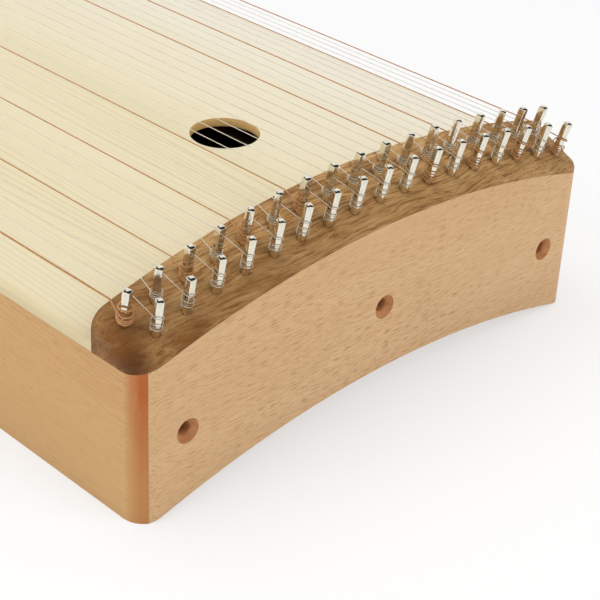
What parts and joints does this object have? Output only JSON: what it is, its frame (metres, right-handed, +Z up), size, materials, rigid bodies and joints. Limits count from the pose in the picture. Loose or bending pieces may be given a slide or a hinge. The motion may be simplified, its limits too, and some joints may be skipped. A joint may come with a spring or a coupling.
{
  "type": "monochord",
  "caption": "Arched zither box with a hollowed underside, a round sound hole, a sloping walnut cap with turning pins, and unison strings over the soundboard.",
  "frame": {"origin": "middle of the box in plan, on the surface that it stands on", "axes": "+X across the strings, +Y along the strings from the tuning pins to the hitch rail, +Z up out of the soundboard"},
  "size_m": [0.34, 0.62, 0.1492],
  "materials": {
    "soundboard_spruce": "oiled, satin",
    "end_beech": "oiled, satin",
    "side_beech": "oiled, satin",
    "cap_walnut": "oiled, satin",
    "block_maple": "planed, raw",
    "brace_spruce": "planed, raw",
    "pin_nickel": "nickel plated, bright",
    "copper_winding": "copper wound wire, satin",
    "rail_brass": "brushed",
    "plain_wire": "bright drawn wire"
  },
  "bodies": {
    "root": {"soundboard": "soundboard_spruce", "back_board": "side_beech", "side_wall_left": "side_beech", "side_wall_right": "side_beech", "pin_end_plate": "end_beech", "hitch_end_plate": "end_beech", "pin_cap": "cap_walnut", "hitch_cap": "cap_walnut", "pin_block": "block_maple", "hitch_block": "block_maple", "soundboard_brace_1": "brace_spruce", "soundboard_brace_2": "brace_spruce", "soundboard_brace_3": "brace_spruce", "back_brace_1": "brace_spruce", "back_brace_2": "brace_spruce", "hitch_rail_and_plain_strings": "rail_brass", "wound_string_01": "copper_winding", "wound_string_05": "copper_winding", "wound_string_09": "copper_winding", "wound_string_13": "copper_winding", "wound_string_22": "copper_winding", "wound_string_26": "copper_winding", "wound_string_30": "copper_winding", "wound_string_34": "copper_winding"},
    "pin_01": {"tuning_pin_01": "pin_nickel"},
    "pin_02": {"tuning_pin_02": "pin_nickel"},
    "pin_03": {"tuning_pin_03": "pin_nickel"},
    "pin_04": {"tuning_pin_04": "pin_nickel"},
    "pin_05": {"tuning_pin_05": "pin_nickel"},
    "pin_06": {"tuning_pin_06": "pin_nickel"},
    "pin_07": {"tuning_pin_07": "pin_nickel"},
    "pin_08": {"tuning_pin_08": "pin_nickel"},
    "pin_09": {"tuning_pin_09": "pin_nickel"},
    "pin_10": {"tuning_pin_10": "pin_nickel"},
    "pin_11": {"tuning_pin_11": "pin_nickel"},
    "pin_12": {"tuning_pin_12": "pin_nickel"},
    "pin_13": {"tuning_pin_13": "pin_nickel"},
    "pin_14": {"tuning_pin_14": "pin_nickel"},
    "pin_15": {"tuning_pin_15": "pin_nickel"},
    "pin_16": {"tuning_pin_16": "pin_nickel"},
    "pin_17": {"tuning_pin_17": "pin_nickel"},
    "pin_18": {"tuning_pin_18": "pin_nickel"},
    "pin_19": {"tuning_pin_19": "pin_nickel"},
    "pin_20": {"tuning_pin_20": "pin_nickel"},
    "pin_21": {"tuning_pin_21": "pin_nickel"},
    "pin_22": {"tuning_pin_22": "pin_nickel"},
    "pin_23": {"tuning_pin_23": "pin_nickel"},
    "pin_24": {"tuning_pin_24": "pin_nickel"},
    "pin_25": {"tuning_pin_25": "pin_nickel"},
    "pin_26": {"tuning_pin_26": "pin_nickel"},
    "pin_27": {"tuning_pin_27": "pin_nickel"},
    "pin_28": {"tuning_pin_28": "pin_nickel"},
    "pin_29": {"tuning_pin_29": "pin_nickel"},
    "pin_30": {"tuning_pin_30": "pin_nickel"},
    "pin_31": {"tuning_pin_31": "pin_nickel"},
    "pin_32": {"tuning_pin_32": "pin_nickel"},
    "pin_33": {"tuning_pin_33": "pin_nickel"},
    "pin_34": {"tuning_pin_34": "pin_nickel"}
  },
  "joints": [
    {"name": "pin_01_turn", "type": "hinge", "parent": "root", "child": "pin_01", "pos_m": [-0.1593, -0.286, 0.1045], "axis": [-0.0945, -0.2425, 0.9655], "range_deg": [-360, 45]},
    {"name": "pin_02_turn", "type": "hinge", "parent": "root", "child": "pin_02", "pos_m": [-0.14973, -0.2975, 0.10071], "axis": [-0.0889, -0.2427, 0.966], "range_deg": [-360, 45]},
    {"name": "pin_03_turn", "type": "hinge", "parent": "root", "child": "pin_03", "pos_m": [-0.14016, -0.286, 0.10959], "axis": [-0.0832, -0.2428, 0.9665], "range_deg": [-360, 45]},
    {"name": "pin_04_turn", "type": "hinge", "parent": "root", "child": "pin_04", "pos_m": [-0.13059, -0.2975, 0.10543], "axis": [-0.0776, -0.2429, 0.9669], "range_deg": [-360, 45]},
    {"name": "pin_05_turn", "type": "hinge", "parent": "root", "child": "pin_05", "pos_m": [-0.12102, -0.286, 0.11399], "axis": [-0.0719, -0.243, 0.9674], "range_deg": [-360, 45]},
    {"name": "pin_06_turn", "type": "hinge", "parent": "root", "child": "pin_06", "pos_m": [-0.11145, -0.2975, 0.10948], "axis": [-0.0663, -0.2431, 0.9677], "range_deg": [-360, 45]},
    {"name": "pin_07_turn", "type": "hinge", "parent": "root", "child": "pin_07", "pos_m": [-0.10188, -0.286, 0.11773], "axis": [-0.0606, -0.2432, 0.9681], "range_deg": [-360, 45]},
    {"name": "pin_08_turn", "type": "hinge", "parent": "root", "child": "pin_08", "pos_m": [-0.09231, -0.2975, 0.11286], "axis": [-0.0549, -0.2432, 0.9684], "range_deg": [-360, 45]},
    {"name": "pin_09_turn", "type": "hinge", "parent": "root", "child": "pin_09", "pos_m": [-0.08274, -0.286, 0.1208], "axis": [-0.0492, -0.2433, 0.9687], "range_deg": [-360, 45]},
    {"name": "pin_10_turn", "type": "hinge", "parent": "root", "child": "pin_10", "pos_m": [-0.07317, -0.2975, 0.11559], "axis": [-0.0436, -0.2434, 0.969], "range_deg": [-360, 45]},
    {"name": "pin_11_turn", "type": "hinge", "parent": "root", "child": "pin_11", "pos_m": [-0.0636, -0.286, 0.12322], "axis": [-0.0379, -0.2434, 0.9692], "range_deg": [-360, 45]},
    {"name": "pin_12_turn", "type": "hinge", "parent": "root", "child": "pin_12", "pos_m": [-0.05403, -0.2975, 0.11769], "axis": [-0.0322, -0.2435, 0.9694], "range_deg": [-360, 45]},
    {"name": "pin_13_turn", "type": "hinge", "parent": "root", "child": "pin_13", "pos_m": [-0.04446, -0.286, 0.12501], "axis": [-0.0265, -0.2435, 0.9695], "range_deg": [-360, 45]},
    {"name": "pin_14_turn", "type": "hinge", "parent": "root", "child": "pin_14", "pos_m": [-0.03489, -0.2975, 0.11915], "axis": [-0.0208, -0.2436, 0.9697], "range_deg": [-360, 45]},
    {"name": "pin_15_turn", "type": "hinge", "parent": "root", "child": "pin_15", "pos_m": [-0.02532, -0.286, 0.12616], "axis": [-0.0151, -0.2436, 0.9698], "range_deg": [-360, 45]},
    {"name": "pin_16_turn", "type": "hinge", "parent": "root", "child": "pin_16", "pos_m": [-0.01575, -0.2975, 0.11998], "axis": [-0.0094, -0.2436, 0.9698], "range_deg": [-360, 45]},
    {"name": "pin_17_turn", "type": "hinge", "parent": "root", "child": "pin_17", "pos_m": [-0.00618, -0.286, 0.12668], "axis": [-0.0037, -0.2436, 0.9699], "range_deg": [-360, 45]},
    {"name": "pin_18_turn", "type": "hinge", "parent": "root", "child": "pin_18", "pos_m": [0.00338, -0.2975, 0.12018], "axis": [0.002, -0.2436, 0.9699], "range_deg": [-360, 45]},
    {"name": "pin_19_turn", "type": "hinge", "parent": "root", "child": "pin_19", "pos_m": [0.01295, -0.286, 0.12656], "axis": [0.0077, -0.2436, 0.9698], "range_deg": [-360, 45]},
    {"name": "pin_20_turn", "type": "hinge", "parent": "root", "child": "pin_20", "pos_m": [0.02252, -0.2975, 0.11975], "axis": [0.0134, -0.2436, 0.9698], "range_deg": [-360, 45]},
    {"name": "pin_21_turn", "type": "hinge", "parent": "root", "child": "pin_21", "pos_m": [0.03209, -0.286, 0.12582], "axis": [0.0191, -0.2436, 0.9697], "range_deg": [-360, 45]},
    {"name": "pin_22_turn", "type": "hinge", "parent": "root", "child": "pin_22", "pos_m": [0.04166, -0.2975, 0.1187], "axis": [0.0248, -0.2435, 0.9696], "range_deg": [-360, 45]},
    {"name": "pin_23_turn", "type": "hinge", "parent": "root", "child": "pin_23", "pos_m": [0.05123, -0.286, 0.12445], "axis": [0.0305, -0.2435, 0.9694], "range_deg": [-360, 45]},
    {"name": "pin_24_turn", "type": "hinge", "parent": "root", "child": "pin_24", "pos_m": [0.0608, -0.2975, 0.11702], "axis": [0.0362, -0.2435, 0.9692], "range_deg": [-360, 45]},
    {"name": "pin_25_turn", "type": "hinge", "parent": "root", "child": "pin_25", "pos_m": [0.07037, -0.286, 0.12244], "axis": [0.0419, -0.2434, 0.969], "range_deg": [-360, 45]},
    {"name": "pin_26_turn", "type": "hinge", "parent": "root", "child": "pin_26", "pos_m": [0.07994, -0.2975, 0.1147], "axis": [0.0476, -0.2433, 0.9688], "range_deg": [-360, 45]},
    {"name": "pin_27_turn", "type": "hinge", "parent": "root", "child": "pin_27", "pos_m": [0.08951, -0.286, 0.11979], "axis": [0.0533, -0.2433, 0.9685], "range_deg": [-360, 45]},
    {"name": "pin_28_turn", "type": "hinge", "parent": "root", "child": "pin_28", "pos_m": [0.09908, -0.2975, 0.11174], "axis": [0.0589, -0.2432, 0.9682], "range_deg": [-360, 45]},
    {"name": "pin_29_turn", "type": "hinge", "parent": "root", "child": "pin_29", "pos_m": [0.10865, -0.286, 0.11648], "axis": [0.0646, -0.2431, 0.9678], "range_deg": [-360, 45]},
    {"name": "pin_30_turn", "type": "hinge", "parent": "root", "child": "pin_30", "pos_m": [0.11822, -0.2975, 0.10812], "axis": [0.0703, -0.243, 0.9675], "range_deg": [-360, 45]},
    {"name": "pin_31_turn", "type": "hinge", "parent": "root", "child": "pin_31", "pos_m": [0.12779, -0.286, 0.11251], "axis": [0.0759, -0.2429, 0.9671], "range_deg": [-360, 45]},
    {"name": "pin_32_turn", "type": "hinge", "parent": "root", "child": "pin_32", "pos_m": [0.13736, -0.2975, 0.10384], "axis": [0.0816, -0.2428, 0.9666], "range_deg": [-360, 45]},
    {"name": "pin_33_turn", "type": "hinge", "parent": "root", "child": "pin_33", "pos_m": [0.14693, -0.286, 0.10787], "axis": [0.0872, -0.2427, 0.9662], "range_deg": [-360, 45]},
    {"name": "pin_34_turn", "type": "hinge", "parent": "root", "child": "pin_34", "pos_m": [0.1565, -0.2975, 0.09887], "axis": [0.0929, -0.2426, 0.9657], "range_deg": [-360, 45]}
  ]
}
